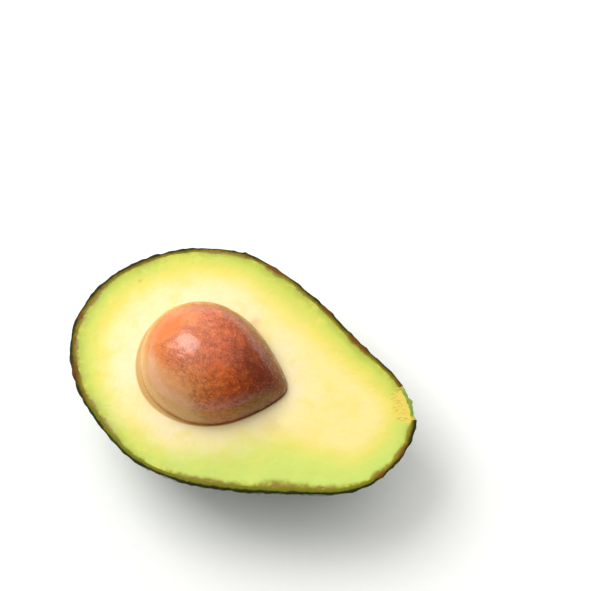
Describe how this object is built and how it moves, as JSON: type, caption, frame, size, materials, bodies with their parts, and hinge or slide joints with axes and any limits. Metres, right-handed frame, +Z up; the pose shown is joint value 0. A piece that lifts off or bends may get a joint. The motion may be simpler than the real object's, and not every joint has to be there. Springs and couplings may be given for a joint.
{
  "type": "avocado half",
  "caption": "Avocado half with its seed in place, lying cut face up on a small flat spot of its rounded green skin.",
  "frame": {"origin": "on the resting surface, under the middle of the object's bounding box", "axes": "+Z up, square to the cut face; +X along the fruit towards the stem end; +Y across the cut face"},
  "size_m": [0.1036, 0.0716, 0.0514],
  "materials": {
    "skin": "glossy pebbled green fruit skin with pale pores, brown along its cut edge",
    "flesh": "moist buttery yellow flesh, turning green towards the skin",
    "seed": "satin brown seed coat with fine dark veins and a pale tan patch"
  },
  "bodies": {
    "root": {"skin": "skin", "flesh": "flesh", "seed": "seed"}
  },
  "joints": []
}
